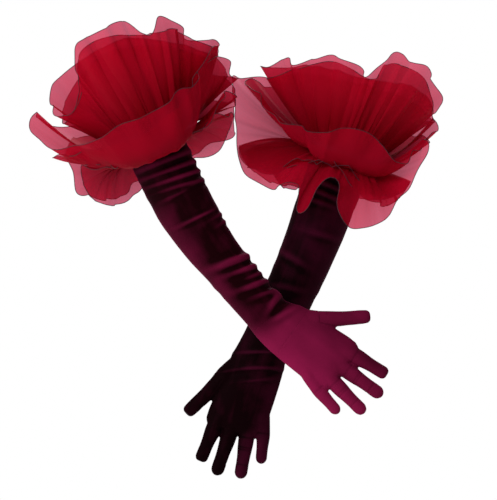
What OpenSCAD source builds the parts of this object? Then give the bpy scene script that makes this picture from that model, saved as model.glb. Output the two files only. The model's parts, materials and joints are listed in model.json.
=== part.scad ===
// A pair of elbow-length stretch velvet gloves with a three-tier gathered organza ruffle at
// each cuff. The pair is posed crossed: the right glove in front, the left glove behind it.
// The origin is the middle of the right cuff's elastic. X is to the right, Y away from the
// viewer, Z up. Every glove is built as a right glove in its own frame and the left one is
// mirrored. In a glove's frame the arm runs down -Z, the thumb is on +X and the palm faces +Y.

/* [Cuff] */
// Inner radius of the relaxed cuff elastic, which grips the upper arm
cuff_r = 40; // [36:0.5:48]
// Height of the cuff elastic along the arm
elastic_h = 14; // [8:1:25]
// Height of the folded velvet band round the elastic
band_h = 20; // [16:1:30]
// Thickness of the elastic
elastic_t = 1.8; // [1:0.1:3]
// Thickness of the gathering tape that the organza is sewn to
tape_t = 1.6; // [1:0.1:3]

/* [Sleeve] */
// Thickness of the velvet
velvet_t = 1.4; // [1:0.1:2]
// Length from the cuff elastic to the fold at mid sleeve
upper_len = 150; // [125:1:190]
// Length from the fold at mid sleeve to the wrist
forearm_len = 170; // [140:1:210]
// Outer radius of the sleeve at the fold
elbow_r = 38; // [34:0.5:42]
// Outer radius of the sleeve at the wrist
wrist_r = 31.5; // [28:0.5:35]
// Radius of the overlocked seam inside the sleeve
seam_r = 1.2; // [0.8:0.1:1.6]

/* [Hand] */
// Width across the wrist end of the hand
heel_w = 72; // [66:1:78]
// Width across the knuckles
palm_w = 90; // [88:1:98]
// Thickness of the hand
hand_t = 28; // [24:1:32]
// Outer radius of the three long finger stalls
finger_r = 10.3; // [9:0.1:10.8]
// Outer radius of the little finger stall
little_r = 9.2; // [8:0.1:9.6]
// Outer radius of the thumb stall
thumb_r = 11.8; // [10.5:0.1:13]
// Length of the index finger beyond the palm
index_len = 55; // [48:1:75]
// Length of the middle finger beyond the palm
middle_len = 63; // [54:1:85]
// Length of the ring finger beyond the palm
ring_len = 62; // [50:1:80]
// Length of the little finger beyond the palm
little_len = 46; // [40:1:65]
// Length of the thumb from its root at the palm's edge to its tip
thumb_len = 76; // [66:1:92]

/* [Ruffle] */
// Reach of the middle tier's rim from the arm's axis
ruffle_r = 150; // [125:1:185]
// Reach of the rim front to back, as a share of its reach sideways
ruffle_depth = 0.8; // [0.7:0.05:1]
// Height of the upper tier's rim above the cuff
ruffle_top = 152; // [130:1:200]
// Drop of the lower tier's rim below the cuff
ruffle_drop = 50; // [35:1:70]
// Height of the waves at the rims
wave_h = 14; // [6:1:20]
// Thickness of the gathered organza
organza_t = 1.2; // [0.8:0.1:2]
// Radius of the rolled hem
hem_r = 1.2; // [0.9:0.1:1.6]

/* [Pose] */
// Right arm's lean from the vertical at the cuff
right_upper_lean = 27; // [18:0.5:32]
// Right arm's lean from the vertical along the forearm
right_forearm_lean = 40; // [33:0.5:48]
// Right hand's lean from the vertical
right_hand_lean = 50.5; // [40:0.5:58]
// Left arm's lean from the vertical at the cuff
left_upper_lean = 20; // [14:0.5:26]
// Left arm's lean from the vertical along the forearm
left_forearm_lean = 24.5; // [20:0.5:32]
// Left hand's lean from the vertical
left_hand_lean = 14.5; // [8:0.5:24]
// Right thumb's lean away from its fingers
right_thumb_angle = 44; // [34:1:50]
// Left thumb's lean away from its fingers
left_thumb_angle = 32; // [26:1:46]
// How far the two ruffles' rims lie past each other sideways
rim_lap_x = 32; // [-20:1:42]
// How far the rear ruffle's front edge lies ahead of the front cuff's middle
rim_lap_y = 16; // [-40:1:24]
// Drop of the left cuff below the right one
cuff_drop = 18; // [0:1:60]

/* [Hidden] */

SIDES = ["right", "left"];
fit = 0.3;              // gap between pieces that lie against each other
edge = 0.5;             // straight edge at each end of a fold
velvet = "#5a1030";
velvet_dark = "#3a0a20";
organza = "#8f1028";
thread = "#2a0810";
$fn = 64;

cuff_gap_x = 2 * ruffle_r - rim_lap_x;          // from the right cuff to the left cuff
cuff_gap_y = ruffle_r * ruffle_depth - rim_lap_y;
band_r = cuff_r + elastic_t + fit;              // inside of the velvet band
tape_r = band_r + velvet_t + fit;               // inside of the gathering tape
neck_r = tape_r + tape_t + fit;                 // where the organza starts
half_bend = 40;         // half of the widest bend of the sleeves and fingers
half_turn = 30;         // half of the widest bend of the wrist and thumb
elbow_half = elbow_r * tan(half_bend) + 1;      // half the length of the elbow fold
wrist_half = wrist_r * tan(half_turn) + 1;      // half the length of the wrist fold
finger_half = finger_r * tan(half_bend) + 0.7;  // half the length of a knuckle fold
thumb_half = thumb_r * tan(half_turn) + 0.7;    // half the length of the thumb fold
gusset_len = 17;                                // the thumb gusset's length beyond the thumb's root
gusset_in = 14;                                 // how far it reaches back to the heel of the hand
gusset_in_r = 4;                                // its outer radius there
thumb_root = [palm_w * 0.44, -34];              // X and Z of the thumb's root in the hand
knuckle_pitch = palm_w * 0.268;                 // spacing of the fingers across the palm

// Each finger: X and Z of its root, lean towards the thumb, outer radius, length
FINGERS = [
    [knuckle_pitch * 1.53, -108, 8, finger_r, index_len],
    [knuckle_pitch * 0.54, -114, 4, finger_r, middle_len],
    [-knuckle_pitch * 0.50, -111, -5.5, finger_r, ring_len],
    [-knuckle_pitch * 1.43, -99, -9, little_r, little_len],
];

// Each tier: neck height, control radius and height, rim radius and height, waves, first phase
UPPER_TIER = [8, 88, 58, ruffle_r * 0.76, ruffle_top, 7, 20];
MIDDLE_TIER = [0, 112, 16, ruffle_r, 60, 8, 75];
LOWER_TIER = [-8, 96, 4, ruffle_r * 0.83, -ruffle_drop, 9, 140];
tier_steps = 48;        // samples round a tier
tier_rings = 3;         // bands from neck to rim
hem_sides = 4;

function is_right(side) = side == "right";
function upper_lean(side) = is_right(side) ? right_upper_lean : left_upper_lean;
function forearm_lean(side) = is_right(side) ? right_forearm_lean : left_forearm_lean;
function hand_lean(side) = is_right(side) ? right_hand_lean : left_hand_lean;
function thumb_angle(side) = is_right(side) ? right_thumb_angle : left_thumb_angle;
function rim_shift(side) = is_right(side) ? 0 : ruffle_r * 0.27;

// ---- Frames: each puts its children at one joint of the arm, leaning as the arm leans ----

module cuff_frame(side) {
    translate(is_right(side) ? [0, 0, 0] : [cuff_gap_x, cuff_gap_y, -cuff_drop])
        mirror([is_right(side) ? 0 : 1, 0, 0])
            rotate([0, -upper_lean(side), 0])
                children();
}

module elbow_frame(side) {
    cuff_frame(side)
        translate([0, 0, -upper_len])
            rotate([0, upper_lean(side) - forearm_lean(side), 0])
                children();
}

module wrist_frame(side) {
    elbow_frame(side)
        translate([0, 0, -forearm_len])
            rotate([0, forearm_lean(side) - hand_lean(side), 0])
                children();
}

module finger_frame(finger) {
    translate([finger[0], 0, finger[1]]) rotate([0, -finger[2], 0]) children();
}

module thumb_frame(side) {
    translate([thumb_root[0], 0, thumb_root[1]]) rotate([0, -thumb_angle(side), 0]) children();
}

// ---- Tubes and rings ----

module ring(inner_r, wall, height) {
    difference() {
        cylinder(r = inner_r + wall, h = height, center = true);
        cylinder(r = inner_r, h = height + 2, center = true);
    }
}

// A tapered velvet tube from height top down to height bottom, by its outer radii
module sleeve_tube(top, bottom, top_r, bottom_r) {
    translate([0, 0, bottom])
        rotate_extrude()
            polygon([[bottom_r - velvet_t, 0], [bottom_r, 0],
                     [top_r, top - bottom], [top_r - velvet_t, top - bottom]]);
}

// A closed stall: a tube from height 0 down, with a rounded closed tip
module stall_shape(r, length) {
    corner = r * 0.6;
    inner = r - velvet_t;
    inner_corner = corner - velvet_t;
    rotate_extrude()
        polygon(concat(
            [[r, 0]],
            [for (a = [0:15:90]) [r - corner + corner * cos(a), -length + corner - corner * sin(a)]],
            [[0, -length], [0, -length + velvet_t]],
            [for (a = [90:-15:0]) [inner - inner_corner + inner_corner * cos(a),
                                   -length + corner - inner_corner * sin(a)]],
            [[inner, 0]]));
}

// ---- Ruffle ----

function bezier(a, b, c, v) = (1 - v) * (1 - v) * a + 2 * v * (1 - v) * b + v * v * c;

// The unit vector from a tier's neck to its rim, as [radius, height]
function tier_slope(tier) =
    let (run = [tier[3] - neck_r, tier[4] - tier[0]])
    run / norm(run);

// A point of a tier at angle u and share v from neck to rim, lifted along its normal
function tier_point(tier, shift, u, v, lift) =
    let (slope = tier_slope(tier),
         wave = lift + wave_h * v * v * sin(tier[5] * u + tier[6]),
         neck = neck_r + max(0, slope[1]) * organza_t,
         reach = bezier(neck, tier[1], tier[3], v) - slope[1] * wave,
         height = bezier(tier[0], tier[2], tier[4], v) + slope[0] * wave)
    [reach * cos(u) + shift * v * v,
     reach * sin(u) * (1 - (1 - ruffle_depth) * v),
     height];

// The triangles between row r and row r + 1 of a closed band of tier_steps columns. Where back
// is true the rows run back again, and the triangles lie like those of the front.
function band_faces(r, rows, back) = [for (i = [0:tier_steps - 1])
    let (j = (i + 1) % tier_steps, a = r * tier_steps, b = ((r + 1) % rows) * tier_steps)
    each back ? [[a + i, a + j, b + i], [a + j, b + j, b + i]]
              : [[a + i, a + j, b + j], [a + i, b + j, b + i]]];

// A closed band through rows of points, which run back from row back_from on
module closed_loop(rows, back_from) {
    count = len(rows);
    polyhedron(points = [for (row = rows) each row],
               faces = [for (r = [0:count - 1]) each band_faces(r, count, r >= back_from)],
               convexity = 8);
}

module tier_shape(tier, shift) {
    function row(v, lift) = [for (i = [0:tier_steps - 1])
        tier_point(tier, shift, i * 360 / tier_steps, v, lift)];
    closed_loop(concat(
        [for (k = [0:tier_rings]) row(k / tier_rings, 0)],
        [for (k = [tier_rings:-1:0]) row(k / tier_rings, organza_t)]), tier_rings + 1);
}

module hem_shape(tier, shift) {
    slope = tier_slope(tier);
    out = hem_r + fit;
    function row(k) = [for (i = [0:tier_steps - 1])
        let (u = i * 360 / tier_steps,
             rim = tier_point(tier, shift, u, 1, organza_t / 2),
             a = -k * 360 / hem_sides,
             reach = out * slope[0] + hem_r * cos(a),
             height = out * slope[1] + hem_r * sin(a))
        rim + [reach * cos(u), reach * sin(u), height]];
    closed_loop([for (k = [0:hem_sides - 1]) row(k)], hem_sides);
}

module ruffle_upper_tier(side) { color(organza) cuff_frame(side) tier_shape(UPPER_TIER, rim_shift(side)); }
module ruffle_middle_tier(side) { color(organza) cuff_frame(side) tier_shape(MIDDLE_TIER, rim_shift(side)); }
module ruffle_lower_tier(side) { color(organza) cuff_frame(side) tier_shape(LOWER_TIER, rim_shift(side)); }
module upper_hem(side) { color(thread) cuff_frame(side) hem_shape(UPPER_TIER, rim_shift(side)); }
module middle_hem(side) { color(thread) cuff_frame(side) hem_shape(MIDDLE_TIER, rim_shift(side)); }
module lower_hem(side) { color(thread) cuff_frame(side) hem_shape(LOWER_TIER, rim_shift(side)); }

// ---- Cuff ----

module gathering_tape(side) { color(thread) cuff_frame(side) ring(tape_r, tape_t, band_h); }
module cuff_band(side) { color(velvet_dark) cuff_frame(side) ring(band_r, velvet_t, band_h); }
module cuff_elastic(side) { color("dimgray") cuff_frame(side) ring(cuff_r, elastic_t, elastic_h); }

// ---- Sleeve ----

sleeve_top = -band_h / 2 - fit;
sleeve_top_r = band_r + velvet_t;

module upper_sleeve(side) {
    color(velvet)
        cuff_frame(side)
            sleeve_tube(sleeve_top, -upper_len + elbow_half, sleeve_top_r, elbow_r);
}

// The overlocked allowance runs inside the tube, on the palm side
module seam_line(top, bottom, top_r, bottom_r) {
    inset = velvet_t + fit + seam_r;
    run = top - bottom;
    lean = atan((top_r - bottom_r) / run);
    translate([0, bottom_r - inset, bottom + 1])
        rotate([-lean, 0, 0])
            cylinder(r = seam_r, h = run - 2, $fn = 24);
}

module upper_seam(side) {
    color(thread)
        cuff_frame(side)
            seam_line(sleeve_top, -upper_len + elbow_half, sleeve_top_r, elbow_r);
}

module elbow_fold(side) {
    lean = forearm_lean(side) - upper_lean(side);
    module filled(r, extra) {
        hull() {
            translate([0, 0, elbow_half - fit - edge])
                cylinder(r = r, h = edge + extra, $fn = 32);
            rotate([0, -lean, 0])
                translate([0, 0, -elbow_half + fit - extra])
                    cylinder(r = r, h = edge + extra, $fn = 32);
        }
    }
    color(velvet_dark)
        cuff_frame(side)
            translate([0, 0, -upper_len])
                difference() {
                    filled(elbow_r, 0);
                    filled(elbow_r - velvet_t, 1);
                }
}

module forearm_sleeve(side) {
    color(velvet)
        elbow_frame(side)
            sleeve_tube(-elbow_half, -forearm_len + wrist_half, elbow_r, wrist_r);
}

module forearm_seam(side) {
    color(thread)
        elbow_frame(side)
            seam_line(-elbow_half, -forearm_len + wrist_half, elbow_r, wrist_r);
}

// ---- Hand ----

heel_z = -wrist_half;                            // where the hand meets the wrist fold
hand_middle = [0, -65];

// Where the palm ends beside a finger: on its thumb side for 1, and its other side for -1
function beside(finger, way) =
    [finger[0], finger[1]] + way * (finger[3] + 1) * [cos(finger[2]), sin(finger[2])];

// The hand's outline in X and Z, drawn in by inset
function hand_outline(inset) =
    let (outline = [
        [heel_w / 2, heel_z],
        [palm_w * 0.47, heel_z - 28],
        [palm_w * 0.5, -85],
        for (finger = FINGERS, way = [1, -1]) beside(finger, way),
        [-palm_w * 0.47, -70],
        [-palm_w * 0.44, heel_z - 20],
        [-heel_w / 2, heel_z],
    ])
    [for (p = outline) p + (hand_middle - p) / norm(hand_middle - p) * inset];

// A flat form with round sides: the outline through the hand's thickness
module hand_form(inset, heel_over) {
    t = hand_t - 2 * inset;
    w = palm_w + 20 - 2 * inset;
    intersection() {
        rotate([90, 0, 0])
            linear_extrude(height = t, center = true)
                polygon(concat(
                    [[heel_w / 2 - inset, heel_z + heel_over]],
                    hand_outline(inset),
                    [[-heel_w / 2 + inset, heel_z + heel_over]]));
        translate([0, 0, -150])
            linear_extrude(height = 200)
                union() {
                    square([w - t, t], center = true);
                    for (x = [-1, 1]) translate([x * (w - t) / 2, 0]) circle(r = t / 2);
                }
    }
}

// The hollow hand, with a way through to each finger and the thumb
module hand_shell(side) {
    difference() {
        hand_form(0, 0);
        hand_form(velvet_t, 3);
        for (f = FINGERS) finger_frame(f) {
            translate([0, 0, -20]) cylinder(r = f[3] + fit, h = 20);
            translate([0, 0, -20]) cylinder(r = f[3] - velvet_t, h = 40);
        }
        thumb_frame(side) translate([0, 0, -50]) cylinder(r = thumb_r + fit, h = 50);
    }
}

module half_hand(side, to_palm) {
    intersection() {
        hand_shell(side);
        translate([-100, to_palm ? fit / 2 : -50 - fit / 2, -160]) cube([200, 50, 160]);
    }
}

module back_panel(side) { color(velvet) wrist_frame(side) half_hand(side, false); }
module palm_panel(side) { color(velvet_dark) wrist_frame(side) half_hand(side, true); }

module wrist_fold(side) {
    lean = hand_lean(side) - forearm_lean(side);
    module filled(inset, extra) {
        hull() {
            rotate([0, lean, 0])
                translate([0, 0, wrist_half - fit - edge])
                    cylinder(r = wrist_r - inset, h = edge + extra, $fn = 32);
            translate([0, 0, heel_z + fit - extra])
                linear_extrude(height = edge + extra)
                    hull()
                        for (x = [-1, 1])
                            translate([x * (heel_w - hand_t) / 2, 0])
                                circle(r = hand_t / 2 - inset, $fn = 32);
        }
    }
    color(velvet_dark)
        wrist_frame(side)
            difference() {
                filled(0, 0);
                filled(velvet_t, 1);
            }
}

module thumb_gusset(side) {
    color(velvet_dark)
        wrist_frame(side)
            difference() {
                thumb_frame(side)
                    sleeve_tube(gusset_in, -gusset_len + fit, gusset_in_r, thumb_r);
                hand_form(-fit, 0);
            }
}

module thumb_fold(side) {
    color(velvet_dark)
        wrist_frame(side)
            thumb_frame(side)
                translate([0, 0, -gusset_len - thumb_half])
                    ring(thumb_r - velvet_t, velvet_t, 2 * thumb_half - fit);
}

module knuckle_folds(side) {
    color(velvet_dark)
        wrist_frame(side)
            for (f = FINGERS)
                finger_frame(f)
                    translate([0, 0, -finger_half])
                        ring(f[3] - velvet_t, velvet_t, 2 * finger_half - fit);
}

// Where a finger's side is at height z: its thumb side for 1, and its other side for -1
function side_at(finger, way, z) =
    finger[0] + (finger[1] - z) * tan(finger[2]) + way * finger[3] / cos(finger[2]);

// The narrow gores in the gaps between the fingers, where they leave the hand
module fourchettes(side) {
    gore_h = finger_r * 1.3;
    gore_len = 5;
    gore_gap = 2 * fit;
    color(velvet_dark)
        wrist_frame(side)
            rotate([90, 0, 0])
                linear_extrude(height = gore_h, center = true)
                    for (i = [0:2]) {
                        ahead = FINGERS[i];
                        behind = FINGERS[i + 1];
                        top = min(beside(ahead, -1)[1], beside(behind, 1)[1]) - fit;
                        low = top - gore_len;
                        polygon([
                            [side_at(behind, 1, top) + gore_gap, top],
                            [side_at(ahead, -1, top) - gore_gap, top],
                            [side_at(ahead, -1, low) - gore_gap, low],
                            [side_at(behind, 1, low) + gore_gap, low],
                        ]);
                    }
}

module thumb_stall(side) {
    color(velvet)
        wrist_frame(side)
            thumb_frame(side)
                translate([0, 0, -gusset_len - 2 * thumb_half])
                    stall_shape(thumb_r, thumb_len - gusset_len - 2 * thumb_half);
}

module finger_stall(side, finger) {
    color(velvet)
        wrist_frame(side)
            finger_frame(finger)
                translate([0, 0, -2 * finger_half])
                    stall_shape(finger[3], finger[4] - 2 * finger_half);
}

for (side = SIDES) {
    ruffle_upper_tier(side);
    ruffle_middle_tier(side);
    ruffle_lower_tier(side);
    upper_hem(side);
    middle_hem(side);
    lower_hem(side);
    gathering_tape(side);
    cuff_band(side);
    cuff_elastic(side);
    upper_sleeve(side);
    upper_seam(side);
    elbow_fold(side);
    forearm_sleeve(side);
    forearm_seam(side);
    wrist_fold(side);
    back_panel(side);
    palm_panel(side);
    thumb_gusset(side);
    thumb_fold(side);
    knuckle_folds(side);
    fourchettes(side);
    thumb_stall(side);
    finger_stall(side, FINGERS[0]);
    finger_stall(side, FINGERS[1]);
    finger_stall(side, FINGERS[2]);
    finger_stall(side, FINGERS[3]);
}
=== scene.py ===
"""A pair of elbow-length velvet gloves with gathered organza ruffles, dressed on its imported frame.

Every length in the tables is in millimetres and is turned into metres by MM. The tables use each
glove's own arm: s runs down the arm from the cuff, lateral is towards the thumb, depth is towards
the palm, and a bearing goes round the arm from 0 at the thumb side through 90 at the palm side to
270 at the back of the hand.
"""

import json
import logging
import math
from dataclasses import dataclass, field
from enum import Enum
from typing import Sequence

import bmesh
import bpy
import numpy as np
from mathutils import Matrix, Vector


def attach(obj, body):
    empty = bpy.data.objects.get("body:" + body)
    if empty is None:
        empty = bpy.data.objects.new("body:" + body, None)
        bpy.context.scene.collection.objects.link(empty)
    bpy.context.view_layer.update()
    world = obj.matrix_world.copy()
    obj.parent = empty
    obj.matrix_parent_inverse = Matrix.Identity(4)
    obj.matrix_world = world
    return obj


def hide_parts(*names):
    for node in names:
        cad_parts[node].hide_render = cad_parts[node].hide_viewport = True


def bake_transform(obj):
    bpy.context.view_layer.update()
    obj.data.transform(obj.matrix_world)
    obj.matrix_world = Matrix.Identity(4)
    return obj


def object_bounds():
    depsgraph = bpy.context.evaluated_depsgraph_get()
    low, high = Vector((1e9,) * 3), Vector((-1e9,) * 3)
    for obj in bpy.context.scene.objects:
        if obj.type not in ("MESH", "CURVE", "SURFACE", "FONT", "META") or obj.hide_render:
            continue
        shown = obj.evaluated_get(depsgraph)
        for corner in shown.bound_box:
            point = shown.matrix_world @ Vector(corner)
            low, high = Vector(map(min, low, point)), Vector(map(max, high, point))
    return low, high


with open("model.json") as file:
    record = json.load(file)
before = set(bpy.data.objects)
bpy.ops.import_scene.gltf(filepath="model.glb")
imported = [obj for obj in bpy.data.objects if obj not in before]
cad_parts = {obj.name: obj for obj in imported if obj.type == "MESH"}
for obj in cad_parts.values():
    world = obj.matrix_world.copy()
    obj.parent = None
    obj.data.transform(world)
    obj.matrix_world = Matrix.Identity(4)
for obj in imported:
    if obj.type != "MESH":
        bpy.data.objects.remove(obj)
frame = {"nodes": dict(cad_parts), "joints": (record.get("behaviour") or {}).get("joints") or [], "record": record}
CAD_BOX = [list(corner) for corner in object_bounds()]
LOG = logging.getLogger("gloves")
MM = 0.001
BACK = Vector((0.0, 1.0, 0.0))


class Side(Enum):
    """The two gloves of the pair."""

    RIGHT = "right"
    LEFT = "left"

    @property
    def sign(self) -> float:
        """1 for the right glove and -1 for the left one, its mirror image."""
        return 1.0 if self is Side.RIGHT else -1.0

    def named(self, part: str) -> str:
        """The name of this glove's part."""
        return f"{self.value}_{part}"


class Digit(Enum):
    """The five stalls of a glove."""

    THUMB = "thumb"
    INDEX = "index"
    MIDDLE = "middle"
    RING = "ring"
    LITTLE = "little"


# ---------------------------------------------------------------- shared helpers


def add_object(name: str, mesh: bpy.types.Mesh) -> bpy.types.Object:
    """Links a mesh to the scene as an object at the origin.

    Args:
        name: The object's name.
        mesh: Its mesh, already in place.

    Returns:
        The new object.
    """
    obj = bpy.data.objects.new(name, mesh)
    bpy.context.scene.collection.objects.link(obj)
    return obj


def mesh_from(name: str, bm: bmesh.types.BMesh, smooth: bool = True) -> bpy.types.Mesh:
    """Turns a bmesh into a mesh and frees it.

    Args:
        name: The mesh's name.
        bm: The bmesh.
        smooth: Whether its faces are shaded smooth.

    Returns:
        The mesh.
    """
    for face in bm.faces:
        face.smooth = smooth
    mesh = bpy.data.meshes.new(name)
    bm.to_mesh(mesh)
    bm.free()
    return mesh


def evaluated_mesh(obj: bpy.types.Object) -> bpy.types.Mesh:
    """Applies an object's modifiers or bevel and removes the object.

    Args:
        obj: A mesh or curve object.

    Returns:
        The finished mesh.
    """
    graph = bpy.context.evaluated_depsgraph_get()
    graph.update()
    mesh = bpy.data.meshes.new_from_object(obj.evaluated_get(graph))
    bpy.data.objects.remove(obj)
    return mesh


def thread_tube(name: str, points: np.ndarray, radius: float, closed: bool) -> bpy.types.Object:
    """A round thread along a row of points.

    Args:
        name: The object's name.
        points: The thread's centre line, one row a point.
        radius: The thread's radius.
        closed: Whether the last point joins the first.

    Returns:
        The mesh object.
    """
    curve = bpy.data.curves.new(name, "CURVE")
    curve.dimensions = "3D"
    curve.bevel_depth = radius
    curve.bevel_resolution = 1
    spline = curve.splines.new("POLY")
    spline.points.add(len(points) - 1)
    spline.points.foreach_set("co", np.column_stack([points, np.ones(len(points))]).ravel())
    spline.use_cyclic_u = closed
    curve.use_fill_caps = not closed
    holder = bpy.data.objects.new(name, curve)
    bpy.context.scene.collection.objects.link(holder)
    mesh = evaluated_mesh(holder)
    mesh.name = name
    mesh.materials.clear()
    return add_object(name, mesh)


def smooth_step(x: np.ndarray) -> np.ndarray:
    """0 below 0, 1 above 1 and smooth between."""
    t = np.clip(x, 0.0, 1.0)
    return t * t * (3.0 - 2.0 * t)


def grown(x: np.ndarray, start: float, run: float) -> np.ndarray:
    """0 before start, 1 past start and run, and smooth between."""
    return smooth_step((x - start) / run)


# ---------------------------------------------------------------- finishes


class NodeTree:
    """A short way to add and join the nodes of one material or group."""

    def __init__(self, tree: bpy.types.NodeTree) -> None:
        """Keeps the tree that nodes are added to."""
        self.tree = tree

    def add(self, kind: str, **settings: object) -> bpy.types.Node:
        """Adds a node.

        Args:
            kind: The node's type after "ShaderNode".
            **settings: Attributes to set on it.

        Returns:
            The node.
        """
        node = self.tree.nodes.new("ShaderNode" + kind)
        for name, value in settings.items():
            setattr(node, name, value)
        return node

    def join(self, source: bpy.types.NodeSocket, target: bpy.types.NodeSocket) -> None:
        """Joins an output to an input."""
        self.tree.links.new(source, target)

    def maths(self, operation: str, a: object, b: object) -> bpy.types.NodeSocket:
        """A maths node on two sockets or numbers.

        Args:
            operation: The node's operation.
            a: The first socket or number.
            b: The second one.

        Returns:
            Its output.
        """
        node = self.add("Math", operation=operation)
        for socket, value in zip(node.inputs, (a, b)):
            if isinstance(value, bpy.types.NodeSocket):
                self.join(value, socket)
            else:
                socket.default_value = value
        return node.outputs[0]

    def ramp(self, source: bpy.types.NodeSocket, stops: Sequence[tuple]) -> bpy.types.NodeSocket:
        """A colour ramp.

        Args:
            source: The value that drives it.
            stops: (position, colour) pairs in order.

        Returns:
            Its colour output.
        """
        node = self.add("ValToRGB")
        elements = node.color_ramp.elements
        while len(elements) < len(stops):
            elements.new(0.5)
        for element, (position, colour) in zip(elements, stops):
            element.position = position
            element.color = (*colour, 1.0)
        self.join(source, node.inputs["Fac"])
        return node.outputs["Color"]


def start_group(name: str, places: Sequence[str], scales: dict, results: Sequence[str]) -> tuple:
    """Starts a shader node group with its sockets.

    Args:
        name: The group's name.
        places: The names of its vector inputs.
        scales: Its number inputs, each with its usual value.
        results: The names of its number outputs.

    Returns:
        The group, its NodeTree, and the nodes that hold its inputs and its outputs.
    """
    group = bpy.data.node_groups.new(name, "ShaderNodeTree")
    for label in places:
        group.interface.new_socket(label, in_out="INPUT", socket_type="NodeSocketVector")
    for label, value in scales.items():
        socket = group.interface.new_socket(label, in_out="INPUT", socket_type="NodeSocketFloat")
        socket.default_value = value
    for label in results:
        group.interface.new_socket(label, in_out="OUTPUT", socket_type="NodeSocketFloat")
    return group, NodeTree(group), group.nodes.new("NodeGroupInput"), group.nodes.new("NodeGroupOutput")


def cloth_noise_group() -> bpy.types.NodeTree:
    """The group that every cloth here uses: broad mottling, streaks along the cloth and fine grain.

    Returns:
        The group, made once.
    """
    name = "cloth_noise"
    if name in bpy.data.node_groups:
        return bpy.data.node_groups[name]
    scales = {"Mottle Scale": 30.0, "Grain Scale": 1500.0, "Streak Scale": 60.0}
    group, nodes, entry, leave = start_group(
        name, ("Place", "Flat Place"), scales, ("Mottle", "Grain", "Streak"))
    for label, place, scale, detail in (
        ("Mottle", "Place", "Mottle Scale", 4.0),
        ("Grain", "Place", "Grain Scale", 2.0),
        ("Streak", "Flat Place", "Streak Scale", 3.0),
    ):
        texture = nodes.add("TexNoise")
        texture.inputs["Detail"].default_value = detail
        nodes.join(entry.outputs[scale], texture.inputs["Scale"])
        if label == "Streak":
            stretch = nodes.add("Mapping")
            stretch.inputs["Scale"].default_value = (1.0, 0.12, 1.0)
            nodes.join(entry.outputs[place], stretch.inputs["Vector"])
            nodes.join(stretch.outputs[0], texture.inputs["Vector"])
        else:
            nodes.join(entry.outputs[place], texture.inputs["Vector"])
        nodes.join(texture.outputs["Fac"], leave.inputs[label])
    return group


def weave_group() -> bpy.types.NodeTree:
    """The plain weave of a thin cloth: crossing threads from two bands of waves.

    Returns:
        The group, made once.
    """
    name = "plain_weave"
    if name in bpy.data.node_groups:
        return bpy.data.node_groups[name]
    group, nodes, entry, leave = start_group(name, ("Flat Place",), {"Threads": 785.0}, ("Height",))
    bands = []
    for direction in ("X", "Y"):
        wave = nodes.add("TexWave", bands_direction=direction)
        wave.inputs["Distortion"].default_value = 0.4
        nodes.join(entry.outputs["Flat Place"], wave.inputs["Vector"])
        nodes.join(entry.outputs["Threads"], wave.inputs["Scale"])
        bands.append(wave.outputs["Fac"])
    nodes.join(nodes.maths("MAXIMUM", *bands), leave.inputs["Height"])
    return group


@dataclass(frozen=True)
class Finish:
    """What all finishes share: a name, a dark and a light shade, and roughness from the cloth's noise.

    The scales are those of the noise group, and bump_distance is in metres.
    """

    name: str
    dark: tuple
    light: tuple
    rough: tuple = (0.5, 0.7)
    mottle_scale: float = 30.0
    grain_scale: float = 1500.0
    streak_scale: float = 60.0
    bump: float = 0.3
    bump_distance: float = 0.0003

    def start(self) -> tuple:
        """Makes the material with its noise, roughness and bump.

        Returns:
            The material, its NodeTree, its Principled BSDF, and the nodes of the noise group, the
            bump and the texture coordinates.
        """
        material = bpy.data.materials.new(self.name)
        material.use_nodes = True
        nodes = NodeTree(material.node_tree)
        shader = material.node_tree.nodes["Principled BSDF"]
        where = nodes.add("TexCoord")
        cloth = nodes.add("Group", node_tree=cloth_noise_group())
        nodes.join(where.outputs["Object"], cloth.inputs["Place"])
        nodes.join(where.outputs["UV"], cloth.inputs["Flat Place"])
        cloth.inputs["Mottle Scale"].default_value = self.mottle_scale
        cloth.inputs["Grain Scale"].default_value = self.grain_scale
        cloth.inputs["Streak Scale"].default_value = self.streak_scale
        rough = nodes.add("MapRange")
        rough.inputs["To Min"].default_value = self.rough[0]
        rough.inputs["To Max"].default_value = self.rough[1]
        nodes.join(cloth.outputs["Mottle"], rough.inputs["Value"])
        nodes.join(rough.outputs[0], shader.inputs["Roughness"])
        bump = nodes.add("Bump")
        bump.inputs["Strength"].default_value = self.bump
        bump.inputs["Distance"].default_value = self.bump_distance
        nodes.join(bump.outputs[0], shader.inputs["Normal"])
        return material, nodes, shader, cloth, bump, where


@dataclass(frozen=True)
class VelvetFinish(Finish):
    """Stretch velvet: a dark short pile with a magenta sheen where it is seen aslant."""

    crush: float = 0.3
    sheen: float = 0.16
    sheen_tint: tuple = (0.80, 0.07, 0.26)

    def build(self) -> bpy.types.Material:
        """Makes the material; its point attribute of painted light lifts the base colour into painted highlights
        on fold crests, a painted sheen along the outer edge and a lighter right hand, and its low values are
        painted shade.

        Returns:
            The material.
        """
        material, nodes, shader, cloth, bump, _ = self.start()
        # Painted light: a point attribute of painted highlights, painted sheen and painted shade, added into the
        # velvet's base colour.
        painted_light = nodes.add("Attribute", attribute_name="painted_light")
        both = nodes.maths("ADD", cloth.outputs["Mottle"], cloth.outputs["Streak"])
        crush = nodes.maths("MULTIPLY", both, 0.5)
        shade = nodes.maths("ADD", nodes.maths("MULTIPLY", nodes.maths("SUBTRACT", crush, 0.5), self.crush),
                            painted_light.outputs["Fac"])
        colour = nodes.ramp(shade, ((0.0, self.dark), (1.0, self.light)))
        nodes.join(colour, shader.inputs["Base Color"])
        nodes.join(cloth.outputs["Grain"], bump.inputs["Height"])
        shader.inputs["Sheen Weight"].default_value = self.sheen
        shader.inputs["Sheen Roughness"].default_value = 0.32
        shader.inputs["Sheen Tint"].default_value = (*self.sheen_tint, 1.0)
        shader.inputs["Specular IOR Level"].default_value = 0.01
        return material


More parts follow.
